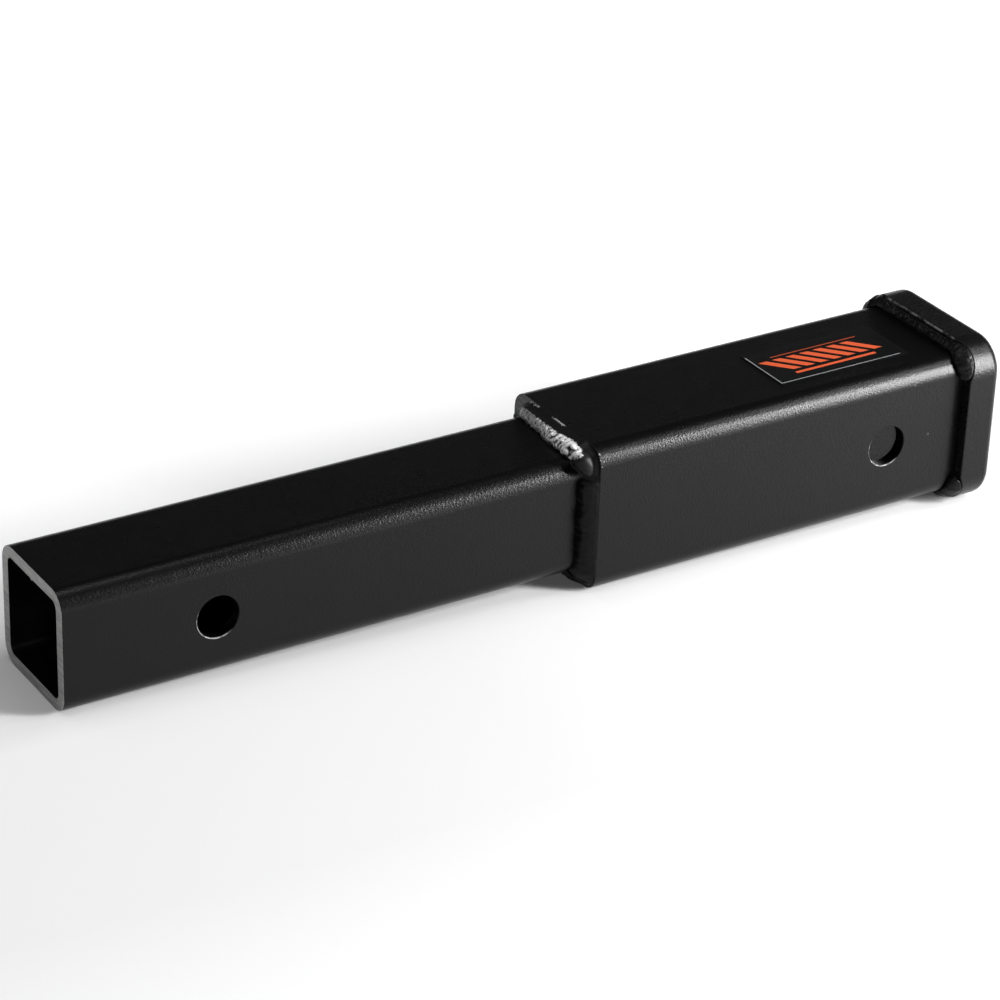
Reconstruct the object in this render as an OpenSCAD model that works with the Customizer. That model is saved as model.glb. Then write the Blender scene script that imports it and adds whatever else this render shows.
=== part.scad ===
// Hitch receiver extender. A square shank tube slides into the vehicle's receiver, and a larger
// square tube welded over its other end is the new socket, with a bar collar round its mouth.
// Millimetres. The origin is the middle of the pin hole through the shank, +X runs to the mouth
// and +Z is up, so the near side of the photographed part faces -Y.

/* [Shank tube] */
// Outside width of the square shank
shank_w = 50.8; // [44:0.1:64]
// Wall of the shank tube
shank_wall = 4.8; // [3:0.1:6]
// Outside corner radius of the shank tube
shank_corner = 8; // [6.5:0.5:10]
// Open end of the shank to the middle of its pin hole
shank_end = 63.5; // [40:0.5:90]
// Length of shank tube inside the receiver tube
shank_lap = 50; // [30:1:70]
// Radius of the rolled tube's seam flash, left standing on the inside
seam_r = 0.8; // [0.4:0.1:1.2]

/* [Receiver tube] */
// Gap on each side of a shank in the socket
socket_clearance = 0.75; // [0.3:0.05:1.5]
// Wall of the receiver tube
receiver_wall = 5.6; // [4:0.1:8]
// Outside corner radius of the receiver tube
receiver_corner = 8; // [7:0.5:11]
// Length of the receiver tube
receiver_len = 194; // [170:1:260]
// Middle of the receiver's pin hole to the mouth
mouth_reach = 53; // [40:0.5:70]

/* [Pin holes] */
// How far the extender moves the hitch out, pin hole to pin hole
extension = 304.8; // [260:0.1:460]
// Diameter of the hitch pin
pin_d = 15.9; // [12:0.1:17]
// Gap round the pin in its holes
pin_clearance = 0.8; // [0.3:0.05:1.2]

/* [Mouth collar] */
// Thickness of the collar's flat bar
collar_bar = 4.8; // [4.6:0.1:8]
// Width of the bar, measured along the tube
collar_len = 15.8; // [10:0.1:25]
// Gap between the bent bar and the tube
collar_fit = 0.15; // [0.05:0.05:0.5]
// Outside corner radius of the collar, where the bend leaves the bar a little thinner
collar_corner = 14.5; // [13:0.5:15.5]
// Rounding of the collar's outer edge at the mouth
collar_mouth_round = 4; // [1:0.5:4.5]
// Rounding of the collar's outer edge on its welded side
collar_rear_round = 0.5; // [0.2:0.1:1]
// How far the bends draw the bar's welded edge in at the collar's corners
collar_draw = 2.8; // [0.5:0.1:4]

/* [Step weld] */
// Height of an ordinary side run of the weld on the receiver's cut end
step_rise = 6.1; // [4:0.1:6.1]
// Reach of a side run along the shank
step_reach = 6; // [4:0.1:8]
// Reach of the heaped top run near its stop
step_top_reach = 8; // [6:0.1:12]
// Height of the lump where the top run stops on the near corner
step_lump_rise = 8; // [6:0.1:8.3]
// Height of the weld on the near bottom corner
step_bottom_rise = 8.2; // [6:0.1:8.3]
// Reach of the weld on the near bottom corner
step_bottom_reach = 8; // [6:0.5:10]
// Distance down the near side at which the top run ends
step_top_stop = 0.5; // [0:0.5:4]
// Length of tube past the far top corner that has no weld
step_far_gap = 6; // [2:0.5:12]

/* [Collar welds] */
// Height of the run on the back of the collar
collar_rise = 3.8; // [3:0.1:4.5]
// Reach of the run along the receiver tube
collar_reach = 1.6; // [1:0.1:4]
// Reach of the lumps at the collar's corners
collar_lump_reach = 4.5; // [2:0.1:8]
// Distance down the sides at which a run ends
collar_stop = 2; // [1:0.5:8]

/* [Weld bead] */
// Distance between ripples
ripple_pitch = 2; // [1.5:0.1:3]
// Depth of a ripple, as a share of the bead's size
ripple_depth = 0.07; // [0:0.01:0.12]
// How far a ripple bows ahead in the middle of the bead, in ripples
ripple_bow = 0.8; // [0:0.1:1.5]
// How much the hand-laid reach wanders, as a share of it
wander = 0.05; // [0:0.01:0.08]
// Gap that keeps the bead clear of the tubes' round corners
bead_gap = 0.05; // [0.02:0.01:0.2]

/* [Label] */
// Length of the printed label along the tube
label_len = 64; // [20:1:90]
// Width of the label
label_w = 29; // [10:1:36]
// Thickness of the label's film
label_film = 0.2; // [0.1:0.05:0.5]
// Middle of the label to the receiver's pin hole
label_back = 13; // [0:1:40]
// Distance of the label's middle from the tube's middle, towards the near side
label_side = 2.5; // [-4:0.5:4]

/* [Hidden] */
// Receiver tube and pins
socket_w = shank_w + 2 * socket_clearance;
receiver_w = socket_w + 2 * receiver_wall;
pin_hole_d = pin_d + 2 * pin_clearance;
mouth_x = extension + mouth_reach;
step_x = mouth_x - receiver_len;
// Collar
collar_x = mouth_x - collar_len;
collar_half = receiver_w / 2 + collar_fit + collar_bar;
collar_flat = collar_half - collar_corner;
// The drawn edge starts on a line across the corner, from one end of the bend to the other
draw_start = collar_corner * cos(45);
draw_slope = collar_draw / (collar_corner - draw_start);
// Overshoot of cuts, and how finely round shapes are drawn
cut = 1;
$fn = 64;
// Rings in each ripple and points across a bead
rings_per_ripple = 4;
bead_points = 6;
// Length over which an open end of a run rounds off, in ripples
end_ripples = 1.5;

// Distance along a rounded square's outline between the middles of neighbouring sides
function side_step(half, r) = 2 * (half - r) + PI / 2 * r;
shank_half = shank_w / 2;
shank_flat = shank_half - shank_corner;
shank_side = side_step(shank_half, shank_corner);
receiver_half = receiver_w / 2;
receiver_side = side_step(receiver_half, receiver_corner);
// Stations of the step weld, measured round the shank from the middle of its top
step_corner_end = shank_side - shank_flat;
step_top_start = -shank_side / 2 - 2;
step_top_end = step_corner_end + step_top_stop;
step_far_end = 4 * shank_side + step_top_start - step_far_gap;
// Stations of the collar weld, measured the same way round the receiver tube
receiver_flat = receiver_half - receiver_corner;
receiver_corner_end = receiver_side - receiver_flat;
collar_weld_end = receiver_corner_end + collar_stop;

// Legs of the step weld round the shank: [station, reach along the shank, height on the cut end, form]
// A form of 1 is a full round bead, and 2 is a flat fillet.
step_legs = [
    [step_top_start, step_reach - 1.5, step_rise - 3.4, 1.5],
    [-shank_side / 2, step_reach - 0.5, step_rise - 2.4, 1.3],
    [-shank_flat, step_reach, step_rise, 1.2],
    [0, step_top_reach - 1, step_rise, 1.1],
    [shank_flat, step_top_reach, step_rise + 0.1, 1.05],
    [shank_side / 2, step_top_reach, step_lump_rise, 0.95],
    [step_corner_end - 2, step_reach + 1, step_lump_rise - 1.4, 0.95],
    [step_top_end, step_reach, step_rise, 1.2],
    [2 * shank_side - step_corner_end, step_reach, step_rise, 1.25],
    [1.5 * shank_side, step_bottom_reach, step_bottom_rise, 1.9],
    [shank_side + step_corner_end, step_reach, step_rise, 1.5],
    [3 * shank_side - step_corner_end, step_reach, step_rise, 1.5],
    [2.5 * shank_side, step_bottom_reach - 1, step_bottom_rise - 0.4, 1.7],
    [2 * shank_side + step_corner_end, step_reach - 0.5, step_rise - 0.6, 1.4],
    [step_far_end, step_reach - 0.5, step_rise - 0.8, 1.4]
];

// Legs of the upper collar weld round the receiver tube, and the lower one is the same half way round
collar_legs = [
    [-collar_weld_end, collar_reach, collar_rise, 1.3],
    [-receiver_corner_end, collar_lump_reach - 1.5, collar_rise + 0.3, 1.15],
    [-receiver_side / 2, collar_lump_reach, collar_rise + 0.4, 1.1],
    [-receiver_flat - 1, collar_reach + 0.8, collar_rise, 1.3],
    [-receiver_flat / 2, collar_reach, collar_rise - 0.3, 1.5],
    [receiver_flat / 2, collar_reach, collar_rise - 0.3, 1.5],
    [receiver_flat + 1, collar_reach + 0.8, collar_rise, 1.3],
    [receiver_side / 2, collar_lump_reach, collar_rise + 0.4, 1.1],
    [receiver_corner_end, collar_lump_reach - 1.5, collar_rise + 0.3, 1.15],
    [collar_weld_end, collar_reach, collar_rise, 1.3]
];

// Square bar along +X with round corners, from x = 0
module rounded_bar(len, w, r) {
    rotate([90, 0, 90])
        linear_extrude(len)
            union() {
                square([w, w - 2 * r], center = true);
                square([w - 2 * r, w], center = true);
                for (y = [-1, 1], z = [-1, 1])
                    translate([y * (w / 2 - r), z * (w / 2 - r)])
                        circle(r);
            }
}

// Square tube along +X, from x = 0
module square_tube(len, w, wall, r) {
    difference() {
        rounded_bar(len, w, r);
        translate([-cut, 0, 0])
            rounded_bar(len + 2 * cut, w - 2 * wall, r - wall);
    }
}

// Pin hole through both side walls at x
module pin_hole(x, w) {
    translate([x, w / 2 + cut, 0])
        rotate([90, 0, 0])
            cylinder(h = w + 2 * cut, d = pin_hole_d);
}

// Shank: one length of rolled square tube, drilled across for the hitch pin
module shank_tube() {
    len = shank_end + step_x + shank_lap;
    color([0.1, 0.1, 0.11])
        difference() {
            translate([-shank_end, 0, 0])
                union() {
                    square_tube(len, shank_w, shank_wall, shank_corner);
                    translate([0, 0, shank_half - shank_wall])
                        rotate([0, 90, 0])
                            cylinder(h = len, r = seam_r);
                }
            pin_hole(0, shank_w);
        }
}

// Receiver: a short length of heavier square tube, whose bore takes a shank
module receiver_tube() {
    color([0.13, 0.13, 0.14])
        difference() {
            translate([step_x, 0, 0])
                square_tube(receiver_len, receiver_w, receiver_wall, receiver_corner);
            pin_hole(extension, receiver_w);
        }
}

// Section of the collar before its bore is cut: x is outwards from the middle of a corner's bend,
// y is along the tube
module collar_section() {
    difference() {
        square([collar_corner, collar_len]);
        translate([collar_corner - collar_mouth_round, collar_len - collar_mouth_round])
            difference() {
                square(collar_mouth_round + cut);
                circle(collar_mouth_round);
            }
        translate([collar_corner - collar_rear_round, -cut])
            difference() {
                square(collar_rear_round + cut);
                translate([0, collar_rear_round + cut])
                    circle(collar_rear_round);
            }
    }
}

// What the bend takes off the bar's welded edge at a corner, a wedge across the corner's diagonal
module collar_drawn_corner() {
    rotate([45, 0, 0])
        rotate([90, 0, 0])
            linear_extrude(2 * collar_corner, center = true)
                polygon([
                    [-cut, draw_start - cut / draw_slope],
                    [-cut, collar_corner + cut],
                    [collar_draw + cut * draw_slope, collar_corner + cut]
                ]);
}

// Collar: one flat bar bent into a square ring round the mouth
module mouth_collar() {
    color([0.15, 0.15, 0.16])
        translate([collar_x, 0, 0])
            difference() {
                for (quarter = [0:3])
                    rotate([90 * quarter, 0, 0])
                        rotate([0, 90, 0])
                            translate([-collar_flat, collar_flat, 0])
                                union() {
                                    rotate([0, 0, 90])
                                        rotate_extrude(angle = 90)
                                            collar_section();
                                    rotate([90, 0, 0])
                                        mirror([1, 0, 0])
                                            linear_extrude(2 * collar_flat)
                                                collar_section();
                                }
                translate([-cut, 0, 0])
                    rounded_bar(
                        collar_len + 2 * cut,
                        receiver_w + 2 * collar_fit,
                        receiver_corner + collar_fit
                    );
                for (quarter = [0:3])
                    rotate([90 * quarter, 0, 0])
                        translate([0, -collar_flat, collar_flat])
                            collar_drawn_corner();
            }
}

// Vector [y, z] turned by a number of quarter turns about +X
function quarter_turned(v, turns) =
    let (c = cos(90 * turns), s = sin(90 * turns))
    [v[0] * c - v[1] * s, v[0] * s + v[1] * c];

// Place and outward direction at station s of a rounded square's outline, s from the middle of the
// top towards the near side: [y, z, outward y, outward z]
function outline(s, half, r) =
    let (
        flat = half - r,
        turns = floor((s + flat) / side_step(half, r)),
        from_side = s - turns * side_step(half, r),
        bend = max(0, from_side - flat) / r * 180 / PI,
        out = [-sin(bend), cos(bend)],
        centre = [-min(from_side, flat), flat],
        p = quarter_turned(centre + r * out, turns),
        n = quarter_turned(out, turns)
    )
    [p[0], p[1], n[0], n[1]];

// A leg at station s, read from a column of a table of legs
function leg(legs, s, column) = lookup(s, [for (row = legs) [row[0], row[column]]]);

// Size of a ripple's lens, 1 on its back and 0 in the groove before the next one
function ripple(s, across) =
    let (place = s / ripple_pitch + ripple_bow * sin(180 * across), part = place - floor(place))
    1 - pow(2 * part - 1, 2);

// Slow wander of a hand-laid leg, the same again once round the loop
function wandering(s, loop) = 1 + wander * (sin(360 * 5 * s / loop) + 0.6 * sin(360 * 13 * s / loop));

// How full a run is at station s, where each open end rounds off
function fullness(s, start, stop, open) =
    let (
        round_len = end_ripples * ripple_pitch,
        from_start = open[0] ? s - start : round_len,
        from_stop = open[1] ? stop - s : round_len,
        left = min(from_start, from_stop) / round_len
    )
    left >= 1 ? 1 : sqrt(max(0.04, 1 - pow(1 - left, 2)));

// Distance of a place [y, z] past the line on which the collar's drawn corner starts
function past_line(p) = (abs(p[0]) + abs(p[1])) / sqrt(2) - sqrt(2) * collar_flat - draw_start;

// Bead's section at station s, first its root and then from the tube's toe to the face's toe:
// [distance back from the face, height above the tube, share of the face's own fall that it follows]
function bead_section(legs, s, loop, full) =
    let (
        reach = leg(legs, s, 1) * wandering(s, loop) * full,
        rise = leg(legs, s, 2) * full,
        form = leg(legs, s, 3)
    )
    concat(
        [[0, 0, 0]],
        [for (k = [0:bead_points])
            let (t = 90 * k / bead_points, swell = 1 + ripple_depth * (ripple(s, k / bead_points) - 0.5))
            [reach * pow(cos(t), form) * swell, rise * pow(sin(t), form) * swell, pow(sin(t), 2)]]
    );

// Height at which a bead at an outline's place meets the start of the collar's drawn corner
function line_height(at, rise) =
    let (height = -past_line(at) * sqrt(2) / (abs(at[2]) + abs(at[3])))
    min(0.9 * rise, max(0.1 * rise, height));

// Weld run: a rippled bead in the corner between a tube's outside and a face across it at x,
// swept round the tube from one station to another. Each open end rounds off. The face falls
// away with the slope past the drawn corner's line, and is flat where the slope is 0.
module weld_run(legs, start, stop, x, half, r, open, slope) {
    rings = ceil((stop - start) / ripple_pitch * rings_per_ripple);
    loop = 4 * side_step(half, r);
    ring_size = bead_points + (slope > 0 ? 3 : 2);
    points = [for (i = [0:rings])
        let (
            s = start + (stop - start) * i / rings,
            at = outline(s, half + bead_gap, r + bead_gap),
            full = fullness(s, start, stop, open),
            line = [0, line_height(at, leg(legs, s, 2) * full), 0]
        )
        for (q = concat(bead_section(legs, s, loop, full), slope > 0 ? [line] : []))
            let (
                p = [at[0] + q[1] * at[2], at[1] + q[1] * at[3]],
                fall = max(0, slope * past_line(p) - 2 * bead_gap)
            )
            [x - q[0] + q[2] * fall, p[0], p[1]]
    ];
    sides = [for (i = [0:rings - 1], k = [0:ring_size - 1])
        let (
            a = i * ring_size + k,
            b = i * ring_size + (k + 1) % ring_size
        )
        each [[a, b, b + ring_size], [a, b + ring_size, a + ring_size]]
    ];
    last = rings * ring_size;
    ends = [for (k = [2:ring_size - 1])
        let (next = (k + 1) % ring_size)
        each [[1, next, k], [last + 1, last + k, last + next]]
    ];
    color([0.45, 0.46, 0.48])
        polyhedron(points = points, faces = concat(sides, ends));
}

module step_weld(start, stop, open) {
    weld_run(step_legs, start, stop, step_x, shank_half, shank_corner, open, 0);
}

// Heaped top run of the step weld, from just past the far corner to a lump on the near corner
module step_weld_top() {
    step_weld(step_top_start, step_top_end, [true, false]);
}

// Side run down the near side
module step_weld_near() {
    step_weld(step_top_end, 1.5 * shank_side, [false, false]);
}

// Run along the bottom
module step_weld_bottom() {
    step_weld(1.5 * shank_side, 2.5 * shank_side, [false, false]);
}

// Side run up the far side, stopped short of the top corner
module step_weld_far() {
    step_weld(2.5 * shank_side, step_far_end, [false, true]);
}

// Collar weld across the top, with a lump round each top corner
module collar_weld_top() {
    weld_run(collar_legs, -collar_weld_end, collar_weld_end, collar_x,
        receiver_half, receiver_corner, [true, true], draw_slope);
}

// Collar weld across the bottom
module collar_weld_bottom() {
    rotate([180, 0, 0])
        collar_weld_top();
}

// Label: printed film stuck on top of the receiver tube
module label() {
    color([0.9, 0.35, 0.15])
        translate([
            extension - label_back - label_len / 2,
            -label_side - label_w / 2,
            receiver_half
        ])
            cube([label_len, label_w, label_film]);
}

shank_tube();
receiver_tube();
mouth_collar();
step_weld_top();
step_weld_near();
step_weld_bottom();
step_weld_far();
collar_weld_top();
collar_weld_bottom();
label();
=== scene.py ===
import math

import bpy
import numpy as np
from mathutils import Matrix, Vector


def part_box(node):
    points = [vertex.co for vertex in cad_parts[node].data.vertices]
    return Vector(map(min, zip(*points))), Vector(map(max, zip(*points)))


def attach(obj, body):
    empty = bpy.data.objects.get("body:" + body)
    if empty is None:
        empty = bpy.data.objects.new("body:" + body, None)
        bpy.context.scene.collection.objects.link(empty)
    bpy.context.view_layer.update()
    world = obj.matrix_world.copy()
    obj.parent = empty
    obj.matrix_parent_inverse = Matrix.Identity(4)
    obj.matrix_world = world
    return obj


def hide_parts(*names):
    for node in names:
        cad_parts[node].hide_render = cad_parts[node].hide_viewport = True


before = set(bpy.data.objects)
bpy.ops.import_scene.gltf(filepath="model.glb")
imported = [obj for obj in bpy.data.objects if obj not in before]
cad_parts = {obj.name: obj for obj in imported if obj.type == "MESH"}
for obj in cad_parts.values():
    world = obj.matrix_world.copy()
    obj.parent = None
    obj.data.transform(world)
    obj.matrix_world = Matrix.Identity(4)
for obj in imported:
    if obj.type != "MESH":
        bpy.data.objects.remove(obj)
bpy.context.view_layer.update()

# Shank tube.
# A length of rolled and seam-welded square tube, 50.8 mm over the flats, saw-cut at its open end and
# drilled across for the hitch pin. It is black satin paint all over, and bare steel on the saw cut.
mm = 0.001
shank_half, shank_wall, shank_corner = 25.4, 4.8, 8.0
shank_start, shank_stop = -63.5, 213.8
pin_hole_radius = 8.75
step_x, mouth_x, second_pin_x = 163.8, 357.8, 304.8
FLAT_CELLS, BEND_CELLS = 16, 10


def square_outline(half, corner):
    """Round-cornered square, from the top's far side round by the near side: its points and its normals."""
    flat = half - corner
    points, normals = [], []
    for side in range(4):
        out = np.array([(0, 1), (-1, 0), (0, -1), (1, 0)][side], float)
        along = np.array([(-1, 0), (0, -1), (1, 0), (0, 1)][side], float)
        for k in range(FLAT_CELLS + 1):
            points.append(out * half + along * flat * (2 * k / FLAT_CELLS - 1))
            normals.append(out)
        for k in range(1, BEND_CELLS):
            bend = math.pi / 2 * k / BEND_CELLS
            normal = math.cos(bend) * out + math.sin(bend) * along
            points.append((out + along) * flat + corner * normal)
            normals.append(normal)
    return np.array(points), np.array(normals)


SIDE_POINTS = FLAT_CELLS + BEND_CELLS


class Skin:
    """A mesh that is drawn as rows of points with their true normals."""

    def __init__(self):
        self.points, self.normals, self.faces, self.finishes = [], [], [], []

    def rows(self, points, normals):
        """Adds rows of points, and gives their numbers in the same rows."""
        first = len(self.points)
        shape = points.shape[:-1]
        self.points.extend(points.reshape(-1, 3))
        self.normals.extend(normals.reshape(-1, 3))
        return np.arange(first, len(self.points)).reshape(shape)

    def quads(self, a, b):
        """Fills the strip between two closed rows of point numbers."""
        for k in range(len(a)):
            m = (k + 1) % len(a)
            self.faces.append((a[k], a[m], b[m], b[k]))
            self.finishes.append(0)

    def outward(self, face):
        """The face, turned so that it looks the way that its points' normals do."""
        p = [self.points[k] for k in face]
        looks = np.cross(p[2] - p[0], p[-1] - p[1] if len(p) > 3 else p[1] - p[0])
        return face if looks @ sum(self.normals[k] for k in face) > 0 else face[::-1]

    def piece(self, name, finishes, own_normals=True):
        mesh = bpy.data.meshes.new(name)
        if own_normals:
            self.faces = [self.outward(tuple(f)) for f in self.faces]
        mesh.from_pydata([tuple(p) for p in np.array(self.points) * mm], [], self.faces)
        for finish in finishes:
            mesh.materials.append(finish)
        mesh.polygons.foreach_set("material_index", self.finishes)
        mesh.polygons.foreach_set("use_smooth", [True] * len(self.faces))
        mesh.validate()
        mesh.update()
        if own_normals:
            mesh.normals_split_custom_set_from_vertices([tuple(n) for n in self.normals])
        item = bpy.data.objects.new(name, mesh)
        bpy.context.collection.objects.link(item)
        return item


def quarter_round(x, depth, r, start, steps=5):
    """Quarter circle of an edge in the wall's section: rows of x, depth, normal along x, normal outward."""
    rows = []
    for k in range(steps + 1):
        a = math.radians(start + 90 * k / steps)
        rows.append((x + r * math.sin(a), depth - r * math.cos(a), math.sin(a), math.cos(a)))
    return rows


def wall_section(stations, wall, outer_round, inner_round):
    """Section of a tube's wall: outside, end at the greater x, inside, and the other end. Depth is from
    the outside."""
    x0, x1 = stations[0], stations[-1]
    rows = [(x, 0, 0, 1) for x in stations[1:-1]]
    rows += quarter_round(x1 - outer_round, outer_round, outer_round, 0)
    rows += quarter_round(x1 - inner_round, wall - inner_round, inner_round, 90)
    rows += [(x, wall, 0, -1) for x in stations[-2:0:-1]]
    rows += quarter_round(x0 + inner_round, wall - inner_round, inner_round, 180)
    rows += quarter_round(x0 + outer_round, outer_round, outer_round, 270)
    return rows


def swept(skin, half, corner, section):
    """Sweeps a closed section round a round-cornered square, and gives the point numbers by section row."""
    flat_points, flat_normals = square_outline(half, corner)
    points, normals = [], []
    for x, depth, along_x, outward in section:
        inset = flat_points - depth * flat_normals
        points.append(np.c_[np.full(len(inset), x), inset])
        normals.append(np.c_[np.full(len(inset), along_x), outward * flat_normals])
    return skin.rows(np.array(points), np.array(normals))


def square_tube(x0, x1, half, wall, corner, hole_x):
    """Square tube with its cross hole, whose edges are broken as a drill and a file leave them. The cut end
    at x0 takes the second finish."""
    edge, lip = 0.25, 0.45
    skin = Skin()
    flat = half - corner
    across = list(hole_x + flat * (2 * np.arange(FLAT_CELLS + 1) / FLAT_CELLS - 1))
    before = list(np.linspace(x0 + edge, across[0], 12)[:-1])
    after = list(np.linspace(across[-1], x1 - edge, 12)[1:])
    stations = [x0] + before + across + after + [x1]
    section = wall_section(stations, wall, edge, edge)
    numbers = swept(skin, half, corner, section)
    along_count, end_rows = len(stations) - 2, 12
    outside = {i: numbers[i] for i in range(along_count)}
    first_inside = along_count + end_rows
    inside = {i: numbers[first_inside + along_count - 1 - i] for i in range(along_count)}
    block = range(len(before), len(before) + FLAT_CELLS)
    rows = len(section)
    for i in range(rows):
        j = (i + 1) % rows
        x_mid = (section[i][0] + section[j][0]) / 2
        on_end = abs(section[i][2]) + abs(section[j][2]) > 0.9 and x_mid < x0 + edge
        finish = 1 if on_end else 0
        outer_row = i in block
        inner_row = first_inside <= i < first_inside + along_count and (
            first_inside + along_count - 1 - j in block)
        n = len(numbers[i])
        for k in range(n):
            side, place = divmod(k, SIDE_POINTS)
            if (outer_row or inner_row) and side in (1, 3) and place < FLAT_CELLS:
                continue
            m = (k + 1) % n
            skin.faces.append((numbers[i][k], numbers[j][k], numbers[j][m], numbers[i][m]))
            skin.finishes.append(finish)
    for side in (1, 3):
        drill(skin, outside, inside, block, side, hole_x, half, wall, lip)
    return skin


def rim_loop(rows, block, side):
    """Point numbers round the square of wall that a hole is in."""
    first, last = block[0], block[-1] + 1
    start = side * SIDE_POINTS
    loop = [rows[i][start] for i in range(first, last)]
    loop += [rows[last][start + k] for k in range(FLAT_CELLS)]
    loop += [rows[i][start + FLAT_CELLS] for i in range(last, first, -1)]
    loop += [rows[first][start + k] for k in range(FLAT_CELLS, 0, -1)]
    return loop


def drill(skin, outside, inside, block, side, hole_x, half, wall, lip):
    """Closes the wall round a hole with its rounded rims and its barrel."""
    outer, inner = rim_loop(outside, block, side), rim_loop(inside, block, side)
    y_out = -1 if side == 1 else 1
    spokes = np.array([skin.points[k] for k in outer])
    offset = np.c_[spokes[:, 0] - hole_x, spokes[:, 2]]
    reach = np.linalg.norm(offset, axis=1)
    ray = offset / reach[:, None]
    rings = [(reach * (1 - t) + (pin_hole_radius + lip) * t, 0, 0, 1) for t in (0.4, 0.7, 0.9)]
    for k in range(7):
        a = math.pi / 2 * k / 6
        rings.append((np.full(len(ray), pin_hole_radius + lip * (1 - math.sin(a))), lip * (1 - math.cos(a)),
                      math.sin(a), math.cos(a)))
    for k in range(7):
        a = math.pi / 2 * k / 6
        rings.append((np.full(len(ray), pin_hole_radius + lip * (1 - math.cos(a))),
                      wall - lip * (1 - math.sin(a)), math.cos(a), -math.sin(a)))
    rings += [(reach * (1 - t) + (pin_hole_radius + lip) * t, wall, 0, -1) for t in (0.9, 0.7, 0.4)]
    last = outer
    for radius, depth, inward, outward in rings:
        points = np.c_[hole_x + ray[:, 0] * radius, np.full(len(ray), y_out * (half - depth)),
                       ray[:, 1] * radius]
        normals = np.c_[-inward * ray[:, 0], np.full(len(ray), y_out * outward), -inward * ray[:, 1]]
        ring = skin.rows(points, normals)
        skin.quads(last, ring)
        last = ring
    skin.quads(last, inner)


class Nodes:
    """The nodes of one finish, or of the world round the part."""

    def __init__(self, name, world=False):
        self.material = (bpy.data.worlds if world else bpy.data.materials).new(name)
        self.material.use_nodes = True
        self.tree = self.material.node_tree
        self.shader = self.tree.nodes["Background" if world else "Principled BSDF"]
        self.where = self.tree.nodes.new("ShaderNodeTexCoord").outputs["Generated" if world else "Object"]

    def put(self, value, socket):
        if isinstance(value, bpy.types.NodeSocket):
            self.tree.links.new(value, socket)
        else:
            socket.default_value = value

    def add(self, kind, *values, **settings):
        node = self.tree.nodes.new("ShaderNode" + kind)
        for key, value in settings.items():
            setattr(node, key, value)
        for k, value in enumerate(values):
            if value is not None:
                self.put(value, node.inputs[k])
        return node

    def maths(self, operation, *values):
        return self.add("Math", *values, operation=operation).outputs[0]

    def noise(self, scale, detail, roughness, stretch=None):
        """Noise whose grain is about one part in scale of a metre."""
        where = self.where
        if stretch:
            where = self.add("VectorMath", where, stretch, operation="MULTIPLY").outputs[0]
        node = self.add("TexNoise", where)
        node.inputs["Scale"].default_value = scale
        node.inputs["Detail"].default_value = detail
        node.inputs["Roughness"].default_value = roughness
        return node.outputs["Fac"]

    def ramp(self, value, low, high, start=0.0, stop=1.0):
        """Straight ramp of a value between low and high, clamped."""
        node = self.add("MapRange", value, low, high, start, stop, clamp=True)
        return node.outputs[0]

    def blend(self, share, a, b):
        node = self.add("Mix", data_type="RGBA")
        self.put(share, node.inputs[0])
        self.put(a, node.inputs[6])
        self.put(b, node.inputs[7])
        return node.outputs[2]

    def mix(self, share, a, b):
        node = self.add("Mix", data_type="FLOAT")
        self.put(share, node.inputs[0])
        self.put(a, node.inputs[2])
        self.put(b, node.inputs[3])
        return node.outputs[0]

    def distance(self, point):
        return self.add("VectorMath", self.where, point, operation="DISTANCE").outputs["Value"]

    def radius(self, a, b):
        """Distance from the line on which both a and b are 0."""
        squares = self.maths("ADD", self.maths("MULTIPLY", a, a), self.maths("MULTIPLY", b, b))
        return self.maths("SQRT", squares)

    def axes(self):
        node = self.add("SeparateXYZ", self.where)
        return node.outputs[0], node.outputs[1], node.outputs[2]

    def bump(self, height, distance, under=None):
        node = self.add("Bump")
        node.inputs["Strength"].default_value = 1.0
        self.put(distance, node.inputs["Distance"])
        self.put(height, node.inputs["Height"])
        if under:
            self.put(under, node.inputs["Normal"])
        return node.outputs[0]

    def set(self, **sockets):
        for key, value in sockets.items():
            self.put(value, self.shader.inputs[key.replace("_", " ")])
        return self.material


def black_paint(name, level=0.0014, gloss=0.285, ior=1.30, wear_and_highlights=None):
    """Satin black paint, sprayed straight on rolled steel: orange peel, fine dust nibs and faint mottling."""
    n = Nodes(name)
    peel, nibs, rolling_waves = 0.00011, 0.00002, 0.00003
    cloud = n.noise(22, 4, 0.6)
    speck = n.noise(1500, 3, 0.7)
    tone = n.ramp(cloud, 0.35, 0.7)
    colour = n.blend(tone, (level * 0.85, level * 0.87, level * 0.92, 1),
                     (level * 1.35, level * 1.36, level * 1.4, 1))
    dusty = n.ramp(speck, 0.66, 0.8, 0, 0.55)
    colour = n.blend(dusty, colour, (level * 4, level * 4, level * 4, 1))
    rough = n.mix(n.ramp(n.noise(160, 4, 0.6), 0.3, 0.7), gloss - 0.012, gloss + 0.015)
    surface = n.bump(n.noise(1250, 2, 0.5), peel)
    surface = n.bump(n.noise(3600, 2, 0.6), nibs, under=surface)
    surface = n.bump(n.noise(60, 2, 0.5), rolling_waves, under=surface)
    # Paint wear, and on some rims and edges a painted highlight, turn the colour light grey and rougher.
    if wear_and_highlights:
        rubbed_and_highlit = wear_and_highlights(n)
        colour = n.blend(rubbed_and_highlit, colour, (0.34, 0.34, 0.34, 1))
        rough = n.mix(rubbed_and_highlit, rough, 0.5)
    return n.set(Base_Color=colour, Roughness=rough, Normal=surface, IOR=ior)


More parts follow.
